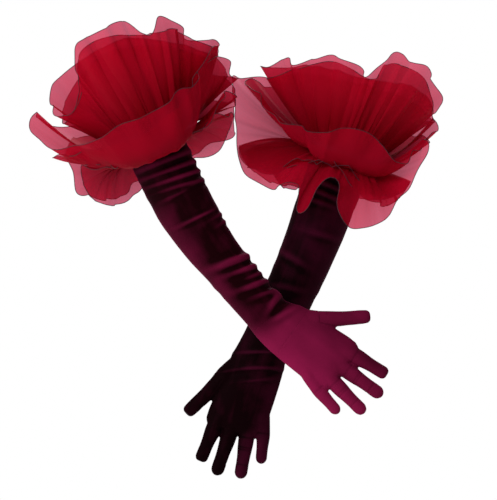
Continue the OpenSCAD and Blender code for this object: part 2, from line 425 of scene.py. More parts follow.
@dataclass(frozen=True)
class OrganzaFinish(Finish):
    """Crisp sheer organza: one layer lets the light through, and it is denser where it is gathered."""

    cover: tuple = (0.90, 0.54)
    stain: tuple = (0.92, 0.25, 0.38)
    glow: float = 0.3

    def build(self) -> bpy.types.Material:
        """Makes the material; a point attribute runs from 0 at the neck to 1 at the rim, darkens the colour
        towards the neck as painted shade for the dense folds there, and makes the threads cover more there, where
        the cloth is gathered tight.

        The threads cover a share of the cloth, and what passes between them is stained red, so
        that layers over each other deepen from rose to crimson.

        Returns:
            The material.
        """
        material, nodes, shader, cloth, bump, where = self.start()
        weave = nodes.add("Group", node_tree=weave_group())
        nodes.join(where.outputs["UV"], weave.inputs["Flat Place"])
        # Painted shade: the colour darkens towards the neck for the shadow in the dense gathers; the same value
        # also sets how densely the threads cover.
        gather = nodes.add("Attribute", attribute_name="gather")
        streak = nodes.maths("MULTIPLY", nodes.maths("SUBTRACT", cloth.outputs["Streak"], 0.5), 0.8)
        spread = nodes.maths("ADD", streak, gather.outputs["Fac"])
        shade = nodes.ramp(spread, ((0.0, self.dark), (0.8, self.light)))
        nodes.join(shade, shader.inputs["Base Color"])
        shader.inputs["Sheen Weight"].default_value = 0.12
        shader.inputs["Sheen Tint"].default_value = (0.9, 0.02, 0.07, 1.0)
        shader.inputs["Specular IOR Level"].default_value = 0.04
        nodes.join(weave.outputs["Height"], bump.inputs["Height"])
        behind = nodes.add("BsdfTranslucent")
        nodes.join(shade, behind.inputs["Color"])
        threads = nodes.add("MixShader")
        threads.inputs[0].default_value = self.glow
        nodes.join(shader.outputs[0], threads.inputs[1])
        nodes.join(behind.outputs[0], threads.inputs[2])
        between = nodes.add("BsdfTransparent")
        between.inputs["Color"].default_value = (*self.stain, 1.0)
        cover = nodes.add("MapRange")
        cover.inputs["To Min"].default_value = self.cover[0]
        cover.inputs["To Max"].default_value = self.cover[1]
        nodes.join(nodes.maths("ADD", spread, nodes.maths("MULTIPLY", weave.outputs["Height"], -0.2)),
                   cover.inputs["Value"])
        cloth_mix = nodes.add("MixShader")
        nodes.join(cover.outputs[0], cloth_mix.inputs[0])
        nodes.join(between.outputs[0], cloth_mix.inputs[1])
        nodes.join(threads.outputs[0], cloth_mix.inputs[2])
        nodes.join(cloth_mix.outputs[0], material.node_tree.nodes["Material Output"].inputs["Surface"])
        return material


@dataclass(frozen=True)
class ThreadFinish(Finish):
    """Twisted sewing thread or woven elastic, with a fine rib."""

    rib_scale: float = 260.0

    def build(self) -> bpy.types.Material:
        """Makes the material.

        Returns:
            The material.
        """
        material, nodes, shader, cloth, bump, where = self.start()
        nodes.join(nodes.ramp(cloth.outputs["Mottle"], ((0.3, self.dark), (0.7, self.light))),
                   shader.inputs["Base Color"])
        rib = nodes.add("TexWave", bands_direction="DIAGONAL")
        rib.inputs["Scale"].default_value = self.rib_scale
        nodes.join(where.outputs["Object"], rib.inputs["Vector"])
        nodes.join(rib.outputs["Fac"], bump.inputs["Height"])
        shader.inputs["Specular IOR Level"].default_value = 0.3
        return material


@dataclass
class Wardrobe:
    """Every finish of the pair, made once."""

    # Lit and shaded copies of one velvet; the rear copy's darker colour is painted shade.
    velvet_front_lit_copy: bpy.types.Material = None
    velvet_rear_painted_shade: bpy.types.Material = None
    organza: bpy.types.Material = None
    hem: bpy.types.Material = None
    tape: bpy.types.Material = None
    elastic: bpy.types.Material = None

    def __post_init__(self) -> None:
        """Builds the materials."""
        # The front copy's light shade carries its painted highlights and painted sheen; the rear copy is darker
        # with less sheen, painted shade for the glove in shadow.
        self.velvet_front_lit_copy = VelvetFinish(
            "velvet_front_lit_copy", (0.007, 0.0003, 0.0011), (0.27, 0.009, 0.062)
        ).build()
        self.velvet_rear_painted_shade = VelvetFinish(
            "velvet_rear_painted_shade", (0.0035, 0.0003, 0.0009), (0.20, 0.010, 0.058), sheen=0.07
        ).build()
        # The organza's dark shade is painted shade towards the neck, and its light shade the open cloth at the
        # rim.
        self.organza = OrganzaFinish(
            "organza", (0.17, 0.0002, 0.003), (0.37, 0.001, 0.016), rough=(0.42, 0.6),
            mottle_scale=25.0, streak_scale=35.0, bump=0.12, bump_distance=0.0001,
        ).build()
        self.hem = ThreadFinish("hem_thread", (0.022, 0.001, 0.004), (0.06, 0.003, 0.013)).build()
        self.tape = ThreadFinish("gathering_tape", (0.05, 0.003, 0.008), (0.12, 0.006, 0.02)).build()
        self.elastic = ThreadFinish(
            "woven_elastic", (0.02, 0.004, 0.008), (0.06, 0.012, 0.022), rough=(0.6, 0.8)
        ).build()

    def velvet(self, side: Side) -> bpy.types.Material:
        """The velvet of one glove: the rear one is the darker copy, painted shade for the glove that lies in
        shadow.
        """
        return self.velvet_front_lit_copy if side is Side.RIGHT else self.velvet_rear_painted_shade


# ---------------------------------------------------------------- where the arm lies


@dataclass
class Arm:
    """One glove's cuff, joints and directions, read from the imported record.

    knuckles holds where each digit bends, and bends the direction that it points in.
    """

    side: Side
    cuff: Vector = None
    elbow: Vector = None
    wrist: Vector = None
    down_upper: Vector = None
    down_forearm: Vector = None
    down_hand: Vector = None
    knuckles: dict = field(default_factory=dict)
    bends: dict = field(default_factory=dict)

    def __post_init__(self) -> None:
        """Reads the mount and the joints."""
        mounts = {mount["name"]: mount for mount in frame["record"]["mounts"]}
        joints = {joint["name"]: joint for joint in frame["joints"]}
        self.cuff = Vector(mounts[self.side.named("cuff")]["pos_m"])
        self.elbow = Vector(joints[self.side.named("sleeve_fold")]["pos_m"])
        self.wrist = Vector(joints[self.side.named("wrist_bend")]["pos_m"])
        self.down_upper = (self.elbow - self.cuff).normalized()
        self.down_forearm = (self.wrist - self.elbow).normalized()
        for digit in Digit:
            joint = joints[self.side.named(digit.value + "_bend")]
            self.knuckles[digit] = Vector(joint["pos_m"])
            along = Vector(joint["axis"]).cross(BACK)
            self.bends[digit] = along * math.copysign(1.0, along.dot(self.down_forearm))
        self.down_hand = self.bends[Digit.MIDDLE]

    def lateral(self, down: Vector) -> Vector:
        """The direction towards the thumb side, square to a direction down the arm."""
        return Vector((-down.z, 0.0, down.x)) * self.side.sign

    def hand_point(self, s: float, lateral: float, depth: float = 0.0) -> Vector:
        """A point in the hand.

        Args:
            s: Millimetres from the wrist along the hand.
            lateral: Millimetres towards the thumb side.
            depth: Millimetres towards the palm.

        Returns:
            The point in the row frame, in metres.
        """
        return (self.wrist + self.down_hand * s * MM + self.lateral(self.down_hand) * lateral * MM
                + BACK * depth * MM)

    def cuff_matrix(self) -> Matrix:
        """From the cuff's own axes, thumb side, palm side and up the arm, to the row frame.

        Returns:
            The matrix.
        """
        place = Matrix.Identity(4)
        for column, axis in enumerate((self.lateral(self.down_upper), BACK, -self.down_upper)):
            place.col[column][:3] = axis
        place.translation = self.cuff
        return place


@dataclass
class ArmPath:
    """The arm's centre line from above the cuff to the knuckles, bending smoothly at each joint."""

    arm: Arm
    step: float = 2 * MM
    start: float = -20 * MM
    elbow_ease: float = 45 * MM
    wrist_ease: float = 28 * MM
    hand_reach: float = 110 * MM
    batch: int = 20000

    def __post_init__(self) -> None:
        """Walks down the arm, turning from one segment's lean to the next."""
        arm = self.arm
        lean = [math.atan2(down.x, -down.z) for down in (arm.down_upper, arm.down_forearm, arm.down_hand)]
        self.elbow_s = (arm.elbow - arm.cuff).length
        self.wrist_s = self.elbow_s + (arm.wrist - arm.elbow).length
        self.s = np.arange(self.start, self.wrist_s + self.hand_reach, self.step)
        turn = lean[0] + (lean[1] - lean[0]) * smooth_step(
            (self.s - self.elbow_s) / (2 * self.elbow_ease) + 0.5)
        turn = turn + (lean[2] - lean[1]) * smooth_step(
            (self.s - self.wrist_s) / (2 * self.wrist_ease) + 0.5)
        self.down = np.column_stack([np.sin(turn), np.zeros_like(turn), -np.cos(turn)])
        middle = (self.down[:-1] + self.down[1:]) / 2
        walked = np.vstack([np.zeros(3), np.cumsum(middle * self.step, axis=0)])
        first = np.array(arm.cuff) + np.array(arm.down_upper) * self.start
        self.points = first + walked
        across = np.column_stack([-self.down[:, 2], np.zeros_like(turn), self.down[:, 0]])
        self.lateral = across * arm.side.sign

    def at(self, s: float) -> tuple:
        """The centre line at a place on the arm.

        Args:
            s: Metres from the cuff.

        Returns:
            The centre, the direction down the arm and the lateral direction.
        """
        i = int(np.clip(round((s - self.start) / self.step), 0, len(self.s) - 1))
        down = Vector(self.down[i])
        return Vector(self.points[i]) + down * (s - self.s[i]), down, Vector(self.lateral[i])

    def coordinates(self, places: np.ndarray) -> tuple:
        """Where points are on the arm.

        Args:
            places: One row a point.

        Returns:
            Arrays of s, lateral and depth, in metres.
        """
        nearest = np.empty(len(places), int)
        for first in range(0, len(places), self.batch):
            block = places[first:first + self.batch]
            gaps = ((block[:, None, ::2] - self.points[None, :, ::2]) ** 2).sum(2)
            nearest[first:first + self.batch] = gaps.argmin(1)
        offset = places - self.points[nearest]
        s = self.s[nearest] + (offset * self.down[nearest]).sum(1)
        lateral = (offset * self.lateral[nearest]).sum(1)
        return s, lateral, offset[:, 1]


# ---------------------------------------------------------------- the velvet glove


@dataclass(frozen=True)
class Fold:
    """One ridge of slack velvet with a valley beside it.

    The line of the fold crosses the arm's middle at s, slants by slant per unit towards the thumb and
    bows by bow per square unit. It is highest at the bearing where, and fades over spread degrees.
    """

    s: float
    height: float
    width: float
    slant: float = 0.0
    where: float = 300.0
    spread: float = 70.0
    bow: float = 0.0

    def lift(self, s: np.ndarray, lateral: np.ndarray, bearing: np.ndarray) -> np.ndarray:
        """How far the fold lifts the cloth.

        Args:
            s: Distance down the arm, in metres.
            lateral: Distance towards the thumb, in metres.
            bearing: Bearing round the arm, in degrees.

        Returns:
            The lift in metres, negative in the valley.
        """
        line = self.s * MM + self.slant * lateral + self.bow * lateral * lateral / MM
        across = (s - line) / (self.width * MM)
        away = (bearing - self.where + 180.0) % 360.0 - 180.0
        fade = np.exp(-((away / self.spread) ** 2) * 1.2)
        ridge = np.exp(-across * across)
        valley = np.exp(-((across - 1.7) ** 2)) + 0.4 * np.exp(-((across + 1.7) ** 2))
        return self.height * MM * fade * (ridge - 0.55 * valley)


@dataclass(frozen=True)
class Section:
    """The arm's half width and half depth at a distance s down it, and its shift to the thumb side."""

    s: float
    half_width: float
    half_depth: float
    shift: float = 0.0


@dataclass(frozen=True)
class Stall:
    """The shape of one finger of the glove, from its root in the palm.

    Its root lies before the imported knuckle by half_fold, half of the knuckle's fold. It is cut from
    the hand at cut past its root, and creases lists how far past the root its cross creases are.
    """

    digit: Digit
    length: float
    half_fold: float
    cut: float
    root_radius: float
    tip_radius: float
    square: bool = False
    creases: tuple = ()


SECTIONS = {
    Side.RIGHT: (
        Section(-16, 42.6, 42.6, -3), Section(30, 43.0, 42.0, -4), Section(66, 42.6, 40.5, -5),
        Section(100, 42.0, 39.2, -5), Section(125, 40.6, 38.4, -3), Section(150, 38.0, 37.2, -2.5),
        Section(186, 34.6, 34.6, -2.5), Section(237, 32.4, 31.0, -3), Section(270, 31.6, 28.0, -3),
        Section(290, 32.0, 25.5, -2), Section(306, 35.0, 24.0, 0), Section(322, 39.0, 21.8, 3),
        Section(345, 41.5, 18.8, 3.5), Section(385, 42.6, 16.2, 2.5), Section(408, 44.2, 14.2, 2),
        Section(422, 43.5, 11.0, 2), Section(431, 36.0, 7.0, 5),
    ),
    Side.LEFT: (
        Section(-16, 42.6, 42.6), Section(40, 42.8, 41.6, -1), Section(91, 42.0, 39.6, -1.5),
        Section(150, 39.4, 37.2, -1.5), Section(193, 37.8, 35.0, -1.5), Section(250, 36.0, 30.5, -1.5),
        Section(290, 35.6, 26.5, -1), Section(306, 36.8, 24.5, -1), Section(322, 39.4, 21.8, -1),
        Section(345, 41.4, 18.8, -0.5), Section(385, 42.4, 16.2, 0.5), Section(408, 43.6, 14.2, 1.5),
        Section(422, 43.0, 11.0, 2), Section(431, 36.0, 7.0, 5),
    ),
}

STALLS = (
    Stall(Digit.INDEX, 55, 9.34, 5.0, 11.6, 8.9, True),
    Stall(Digit.MIDDLE, 63, 9.34, 5.0, 11.4, 9.0, False, (17, 20.5, 42)),
    Stall(Digit.RING, 62, 9.34, 5.0, 11.2, 8.9, False, (16, 19.5, 41)),
    Stall(Digit.LITTLE, 46, 9.34, 5.0, 10.0, 7.6, False),
)
THUMB_STALL = Stall(Digit.THUMB, 79, 7.51, 17.0, 13.2, 9.2, True)
GUSSET_LENGTH = 17.0
GUSSET_CUT = 6.0

FOLDS = {
    Side.RIGHT: (
        Fold(30, 2.6, 5.5, 0.10, 290, 95), Fold(44, 3.6, 5.0, 0.13, 300, 95),
        Fold(58, 3.6, 5.0, 0.16, 305, 90), Fold(70, 3.0, 4.4, 0.19, 305, 75),
        Fold(80, 1.8, 3.4, 0.02, 285, 45), Fold(123, 1.8, 2.8, 0.05, 285, 50),
        Fold(136, 1.6, 4.0, 0.0, 345, 40), Fold(149, 1.6, 4.5, 0.0, 345, 38),
        Fold(202, 5.4, 6.4, 0.36, 312, 66), Fold(218, 5.2, 6.2, 0.40, 318, 62),
        Fold(232, 4.4, 5.2, 0.38, 324, 55), Fold(246, 5.0, 6.0, 0.36, 318, 60),
        Fold(262, 3.2, 6.0, 0.42, 322, 50), Fold(280, 3.6, 7.0, 0.14, 335, 48),
        Fold(292, 2.6, 5.5, -0.20, 305, 42), Fold(306, 1.6, 5.0, 0.30, 300, 45),
        Fold(210, 2.4, 7.0, -0.20, 110, 70), Fold(240, 2.2, 7.0, 0.10, 80, 70),
        Fold(60, 2.0, 7.0, -0.10, 90, 80), Fold(120, 1.6, 7.0, 0.15, 100, 60),
    ),
    Side.LEFT: (
        Fold(32, 2.4, 5.0, -0.10, 280, 80), Fold(46, 2.8, 5.0, -0.05, 285, 75),
        Fold(60, 2.4, 4.5, -0.05, 275, 70), Fold(73, 1.6, 4.0, 0.05, 290, 50),
        Fold(118, 1.2, 4.5, 0.10, 250, 45), Fold(166, 1.4, 5.0, -0.15, 300, 50),
        Fold(205, 1.3, 5.0, 0.20, 285, 50), Fold(262, 1.4, 4.5, 0.20, 270, 60),
        Fold(306, 2.2, 3.6, 0.45, 275, 75), Fold(331, 2.6, 3.6, 0.40, 270, 75, 0.002),
        Fold(351, 1.6, 3.2, 0.45, 262, 55), Fold(60, 2.0, 7.0, 0.10, 90, 80),
        Fold(190, 2.0, 7.0, -0.10, 95, 80), Fold(250, 1.8, 7.0, 0.12, 85, 70),
    ),
}


@dataclass
class GloveBody:
    """The velvet of one glove: one smooth skin, cut where the real glove is sewn or folds.

    elbow_half and wrist_half are half of the cloth that folds there. crease and root_crease are each
    a depth and a width, and slack is how far the loose cloth wavers between its folds.
    """

    arm: Arm
    wardrobe: Wardrobe
    voxel: float = 1.5 * MM
    thickness: float = 1.0 * MM
    ring_gap: float = 6 * MM
    elbow_half: float = 32.9 * MM
    wrist_half: float = 19.2 * MM
    top_edge: float = 10.3 * MM
    thumb_heel: float = 13 * MM
    thumb_mound: tuple = (14.8 * MM, 13 * MM)
    finger_heel: float = 9 * MM
    finger_web: tuple = (11.2 * MM, 12.5 * MM)
    finger_flatness: float = 0.9
    finger_swell: float = 0.035
    web_point: tuple = (62, 46)
    full_crest: float = 2.2 * MM
    crease: tuple = (0.8 * MM, 1.1 * MM)
    root_crease: tuple = (0.7 * MM, 1.6 * MM)
    crease_reach: float = 12 * MM
    slack: float = 0.35 * MM
    side_seam: float = 0.35 * MM
    thumb_seam: float = 0.5 * MM
    finger_reach: float = 15 * MM
    arm_segments: int = 48
    path: ArmPath = None

    def __post_init__(self) -> None:
        """Lays out the centre line."""
        self.path = ArmPath(self.arm)

    # -- the filled form

    def loft(self, bm: bmesh.types.BMesh, rings: Sequence[Matrix], segments: int = 32) -> None:
        """Adds a closed tube through rings of unit circles.

        Args:
            bm: The bmesh to add to.
            rings: One matrix a ring, with its radii in its columns.
            segments: The sides of the tube.
        """
        loops = []
        for place in rings:
            made = bmesh.ops.create_circle(bm, segments=segments, radius=1.0, matrix=place)
            loops.append(list({edge for vert in made["verts"] for edge in vert.link_edges}))
        for near, far in zip(loops, loops[1:]):
            bmesh.ops.bridge_loops(bm, edges=near + far)
        for end in (loops[0], loops[-1]):
            bmesh.ops.edgeloop_fill(bm, edges=end)

    def ring(self, centre: Vector, down: Vector, half_width: float, half_depth: float) -> Matrix:
        """One ring of the form, square to a direction.

        Args:
            centre: Its middle.
            down: The direction that it is square to.
            half_width: Its radius towards the thumb.
            half_depth: Its radius towards the palm.

        Returns:
            The matrix that turns a unit circle into it.
        """
        place = Matrix.Identity(4)
        axes = (self.arm.lateral(down) * half_width, BACK * half_depth, down)
        for column, axis in enumerate(axes):
            place.col[column][:3] = axis
        place.translation = centre
        return place

    def arm_rings(self) -> list:
        """The rings of the sleeve and the palm.

        Returns:
            Their matrices, from the cuff down.
        """
        table = np.array([[p.s, p.half_width, p.half_depth, p.shift] for p in SECTIONS[self.arm.side]]) * MM
        rings = []
        for s in np.arange(table[0, 0], table[-1, 0], self.ring_gap):
            width, depth, shift = (float(np.interp(s, table[:, 0], table[:, k])) for k in (1, 2, 3))
            centre, down, lateral = self.path.at(float(s))
            rings.append(self.ring(centre + lateral * shift, down, width, depth))
        return rings

    def stall_rings(self, stall: Stall) -> list:
        """The rings of one finger.

        Args:
            stall: The finger.

        Returns:
            Their matrices, from inside the palm to its tip.
        """
        along = self.arm.bends[stall.digit]
        root = self.root(stall)
        rings = []
        if stall.digit is Digit.THUMB:
            heel = self.arm.hand_point(2, 20, 2)
            rings.append(self.ring(heel, (root - heel).normalized(), self.thumb_heel, self.thumb_heel))
            rings.append(self.ring(root, along, *self.thumb_mound))
        else:
            heel = self.arm.wrist + (root - self.arm.wrist) * 0.28
            rings.append(self.ring(heel, (root - heel).normalized(), self.finger_heel, self.finger_heel))
            rings.append(self.ring(heel.lerp(root, 0.7), along, *self.finger_web))
        corner = stall.tip_radius * (0.55 if stall.square else 0.95)
        body = np.linspace(10.0 if stall.digit is Digit.THUMB else 2.0, stall.length - corner, 12)
        for t in body:
            share = t / stall.length
            radius = stall.root_radius + (stall.tip_radius - stall.root_radius) * share
            swell = 1.0 + self.finger_swell * math.sin(share * 9.0)
            rings.append(self.ring(root + along * t * MM, along, radius * swell * MM,
                                   radius * self.finger_flatness * MM))
        for angle in np.radians((25, 50, 72, 86)):
            radius = stall.tip_radius - corner * (1 - math.cos(angle))
            tip = root + along * (stall.length - corner + corner * math.sin(angle)) * MM
            rings.append(self.ring(tip, along, radius * MM, radius * self.finger_flatness * MM))
        return rings

    def skin(self) -> bpy.types.Mesh:
        """The whole glove as one closed smooth skin.

        Returns:
            The skin's mesh.
        """
        bm = bmesh.new()
        self.loft(bm, self.arm_rings(), self.arm_segments)
        for stall in (*STALLS, THUMB_STALL):
            self.loft(bm, self.stall_rings(stall))
        bmesh.ops.recalc_face_normals(bm, faces=bm.faces)
        obj = add_object("glove_form", mesh_from("glove_form", bm))
        remesh = obj.modifiers.new("skin", "REMESH")
        remesh.mode = "VOXEL"
        remesh.voxel_size = self.voxel
        remesh.use_smooth_shade = True
        soften = obj.modifiers.new("soften", "SMOOTH")
        soften.factor = 0.6
        soften.iterations = 8
        return evaluated_mesh(obj)

    # -- folds

    def crumple(self, mesh: bpy.types.Mesh) -> None:
        """Lifts the skin into its folds and stores the painted light of the velvet's colour and the flat place of
        each point.

        Args:
            mesh: The skin.
        """
        count = len(mesh.vertices)
        places = np.empty(count * 3)
        normals = np.empty(count * 3)
        mesh.vertices.foreach_get("co", places)
        mesh.vertices.foreach_get("normal", normals)
        places, normals = places.reshape(-1, 3), normals.reshape(-1, 3)
        s, lateral, depth = self.path.coordinates(places)
        bearing = np.degrees(np.arctan2(depth, lateral)) % 360.0
        lift = np.zeros(count)
        for fold in FOLDS[self.arm.side]:
            lift += fold.lift(s, lateral, bearing)
        slow = np.sin(s * 55 + lateral * 30) * np.sin(bearing * 0.035 + s * 40)
        lift += self.slack * slow
        lift *= grown(s / MM, -12, 14)
        lift -= self.creases(places)
        lift -= self.seam_grooves(places)
        places += normals * lift[:, None]
        mesh.vertices.foreach_set("co", places.ravel())
        # Painted light for the velvet's colour: painted highlights on crests, painted shade in valleys, creases
        # and seam grooves.
        painted_light = mesh.attributes.new("painted_light", "FLOAT", "POINT")
        painted_light.data.foreach_set("value", self.painted_light(s, lateral, lift))
        flat = np.column_stack([lateral + depth * 0.5, s])
        corners = np.empty(len(mesh.loops), int)
        mesh.loops.foreach_get("vertex_index", corners)
        layer = mesh.uv_layers.new(name="UVMap")
        layer.data.foreach_set("uv", flat[corners].ravel())
        mesh.update()

    def painted_light(self, s: np.ndarray, lateral: np.ndarray, lift: np.ndarray) -> np.ndarray:
        """Painted light in the pile's colour: painted highlights on fold crests, a painted sheen along the outer
        edge and a lighter right hand where the lamps catch it, and painted shade in valleys, creases and seam
        grooves.

        Its numbers are shares of the light shade, and places down and across the arm in millimetres.

        Args:
            s: Distance down the arm.
            lateral: Distance towards the thumb.
            lift: How far each point is lifted by the folds.

        Returns:
            A value from 0 to 1 for each point.
        """
        down, thumbwards = s / MM, lateral / MM
        on_hand = grown(down, 288, 40)
        on_fingers = grown(down, 410, 25)
        crest = np.clip(lift / self.full_crest, -1.0, 1.0)
        edge = grown(-lateral / MM, 6, 30)
        # The right glove: painted sheen along the outer edge, painted highlights on crests and painted shade in
        # hollows, painted shade on the thumb side at the wrist, and a hand painted lighter as if lit.
        if self.arm.side is Side.RIGHT:
            sleeve = 0.16 * edge * grown(down, 50, 90) + 0.30 * crest
            sleeve = sleeve - 0.06 * grown(thumbwards, 4, 16) * grown(down, 235, 30)
            hand = 0.50 + 0.16 * edge - 0.18 * grown(thumbwards, 8, 30) + 0.22 * crest
            value = sleeve * (1 - on_hand) + hand * on_hand - 0.10 * on_fingers
        # The left glove: painted shade further down the sleeve, painted highlights on crests and a faint painted
        # sheen along the outer edge.
        else:
            sleeve = 0.06 - 0.07 * grown(down, 120, 120) + 0.05 * edge + 0.15 * crest
            hand = -0.03 + 0.12 * edge + 0.16 * crest
            value = sleeve * (1 - on_hand) + hand * on_hand + 0.03 * on_fingers
        return np.clip(value, 0.0, 1.0)

    def creases(self, places: np.ndarray) -> np.ndarray:
        """The short creases across the fingers, on the back of the hand.

        Args:
            places: The skin's points, one a row.

        Returns:
            Their depth at each point.
        """
        dent = np.zeros(len(places))
        depth, width = self.crease
        root_depth, root_width = self.root_crease
        for stall in STALLS:
            along = np.array(self.arm.bends[stall.digit])
            offset = places - np.array(self.root(stall))
            t = offset @ along
            away = np.linalg.norm(offset - np.outer(t, along), axis=1)
            near = (away < self.crease_reach) & (offset[:, 1] < 0)
            for crease in stall.creases:
                dent += near * depth * np.exp(-(((t - crease * MM) / width) ** 2))
            dent += near * root_depth * np.exp(-(((t - 1.5 * MM) / root_width) ** 2))
        return dent

    def seam_grooves(self, places: np.ndarray) -> np.ndarray:
        """The grooves along the side seams and round the thumb.

        Args:
            places: The skin's points, one a row.

        Returns:
            Their depth at each point.
        """
        side = np.abs(places[:, 1] - self.arm.cuff.y)
        groove = self.side_seam * np.exp(-((side / (0.9 * MM)) ** 2))
        thumb, web = self.thumb_planes()
        ahead = (places - np.array(thumb[0])) @ np.array(thumb[1])
        beside = (places - np.array(web[0])) @ np.array(web[1])
        edge = np.where(ahead < beside, ahead, beside)
        inside = (places - np.array(self.arm.knuckles[Digit.THUMB])) @ np.array(self.arm.bends[Digit.THUMB])
        groove += self.thumb_seam * np.exp(-((edge / (1.0 * MM)) ** 2)) * (inside > -60 * MM)
        return groove

    def thumb_planes(self) -> tuple:
        """The two planes of the V seam at the thumb's base.

        Returns:
            The plane across the thumb and the one through the web, each a point and a normal.
        """
        along = self.arm.bends[Digit.THUMB]
        across = (self.root(THUMB_STALL) + along * GUSSET_CUT * MM, along)
        split = (along + self.arm.bends[Digit.INDEX]).normalized()
        towards = self.arm.lateral(split)
        web = (self.arm.hand_point(*self.web_point), towards)
        return across, web

    # -- pieces

    def between(self, source: bmesh.types.BMesh, name: str, keep: Sequence[tuple]) -> bpy.types.Object:
        """Copies the part of the skin that lies on the kept side of some planes.

        Args:
            source: The whole skin.
            name: The new piece's name.
            keep: (point, normal) pairs; what lies along each normal is kept.

        Returns:
            The piece.
        """
        bm = source.copy()
        for point, normal in keep:
            geometry = bm.verts[:] + bm.edges[:] + bm.faces[:]
            bmesh.ops.bisect_plane(bm, geom=geometry, plane_co=point, plane_no=normal, clear_inner=True)
        return add_object(name, mesh_from(name, bm))

    def finish(self, piece: bpy.types.Object, body: str, nodes: Sequence[str]) -> None:
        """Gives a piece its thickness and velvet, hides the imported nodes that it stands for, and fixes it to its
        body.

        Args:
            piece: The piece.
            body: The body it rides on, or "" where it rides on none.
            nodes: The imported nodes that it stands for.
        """
        wall = piece.modifiers.new("thickness", "SOLIDIFY")
        wall.thickness = self.thickness
        wall.offset = -1.0
        piece.data.materials.clear()
        piece.data.materials.append(self.wardrobe.velvet(self.arm.side))
        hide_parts(*nodes)
        if body:
            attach(piece, body)

    def build(self) -> list:
        """Builds every velvet piece of the glove.

        Returns:
            The pieces.
        """
        arm, named = self.arm, self.arm.side.named
        mesh = self.skin()
        self.crumple(mesh)
        whole = bmesh.new()
        whole.from_mesh(mesh)
        bpy.data.meshes.remove(mesh)
        top = (arm.cuff + arm.down_upper * self.top_edge, arm.down_upper)
        elbow_in = arm.elbow - arm.down_upper * self.elbow_half
        elbow_out = arm.elbow + arm.down_forearm * self.elbow_half
        wrist_in = arm.wrist - arm.down_forearm * self.wrist_half
        wrist_out = arm.wrist + arm.down_hand * self.wrist_half
        upper = self.between(whole, named("sleeve_top"), (top, (elbow_in, -arm.down_upper)))
        self.finish(upper, named("upper"), [named("upper_sleeve")])
        elbow = self.between(whole, named("sleeve_middle"),
                             ((elbow_in, arm.down_upper), (elbow_out, -arm.down_forearm)))
        self.finish(elbow, "", [named("elbow_fold")])
        named("upper")
        named("forearm")
        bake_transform(elbow)
        forearm = self.between(whole, named("sleeve_forearm"),
                               ((elbow_out, arm.down_forearm), (wrist_in, -arm.down_forearm)))
        self.finish(forearm, named("forearm"), [named("forearm_sleeve")])
        wrist = self.between(whole, named("sleeve_wrist"),
                             ((wrist_in, arm.down_forearm), (wrist_out, -arm.down_hand)))
        self.finish(wrist, "", [named("wrist_fold")])
        named("forearm")
        named("hand")
        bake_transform(wrist)
        hand = self.hand_pieces(whole, (wrist_out, arm.down_hand))
        whole.free()
        return [upper, elbow, forearm, wrist, *hand]

    def hand_pieces(self, whole: bmesh.types.BMesh, wrist_cut: tuple) -> list:
        """Cuts the hand into its panels, gusset and stalls.

        Args:
            whole: The whole skin.
            wrist_cut: The plane where the hand starts.

        Returns:
            The pieces.
        """
        arm, named = self.arm, self.arm.side.named
        bm = whole.copy()
        across, web = self.thumb_planes()
        cuts = [wrist_cut, across, web, (arm.cuff, BACK)]
        for stall in (*STALLS, THUMB_STALL):
            cuts.append((self.stall_cut(stall), arm.bends[stall.digit]))
        for number, (point, normal) in enumerate(cuts):
            geometry = bm.verts[:] + bm.edges[:] + bm.faces[:]
            bmesh.ops.bisect_plane(bm, geom=geometry, plane_co=point, plane_no=normal,
                                   clear_inner=number == 0)
        groups: dict = {}
        for face in bm.faces:
            groups.setdefault(self.part_of(face.calc_center_median(), across, web), []).append(face.index)
        pieces = []
        for part, members in groups.items():
            piece_bm = bm.copy()
            piece_bm.faces.ensure_lookup_table()
            chosen = set(members)
            others = [face for face in piece_bm.faces if face.index not in chosen]
            bmesh.ops.delete(piece_bm, geom=others, context="FACES")
            name = named(part)
            piece = add_object(name, mesh_from(name, piece_bm))
            pieces.append(piece)
            self.place_hand_piece(piece, part)
        bm.free()
        return pieces

    def stall_cut(self, stall: Stall) -> Vector:
        """Where a stall is cut from the hand, near the start of its fold."""
        along = self.arm.bends[stall.digit]
        return self.root(stall) + along * stall.cut * MM

    def root(self, stall: Stall) -> Vector:
        """A stall's root: half a fold, and for the thumb the gusset too, before its knuckle."""
        before = stall.half_fold + (GUSSET_LENGTH if stall.digit is Digit.THUMB else 0.0)
        return self.arm.knuckles[stall.digit] - self.arm.bends[stall.digit] * before * MM

    def part_of(self, centre: Vector, across: tuple, web: tuple) -> str:
        """Which piece of the hand a face belongs to.

        Args:
            centre: The face's centre.
            across: The seam's plane across the thumb.
            web: The seam's plane through the web.

        Returns:
            The piece's name, without its glove's.
        """
        best, best_gap = "", self.finger_reach
        for stall in STALLS:
            along = self.arm.bends[stall.digit]
            offset = centre - self.stall_cut(stall)
            if offset.dot(along) > 0:
                gap = (offset - along * offset.dot(along)).length
                if gap < best_gap:
                    best, best_gap = stall.digit.value + "_finger", gap
        if best:
            return best
        if (centre - across[0]).dot(across[1]) > 0 and (centre - web[0]).dot(web[1]) > 0:
            beyond = (centre - self.stall_cut(THUMB_STALL)).dot(self.arm.bends[Digit.THUMB])
            return "thumb_finger" if beyond > 0 else "thumb_base"
        return "hand_back" if centre.y < self.arm.cuff.y else "hand_palm"

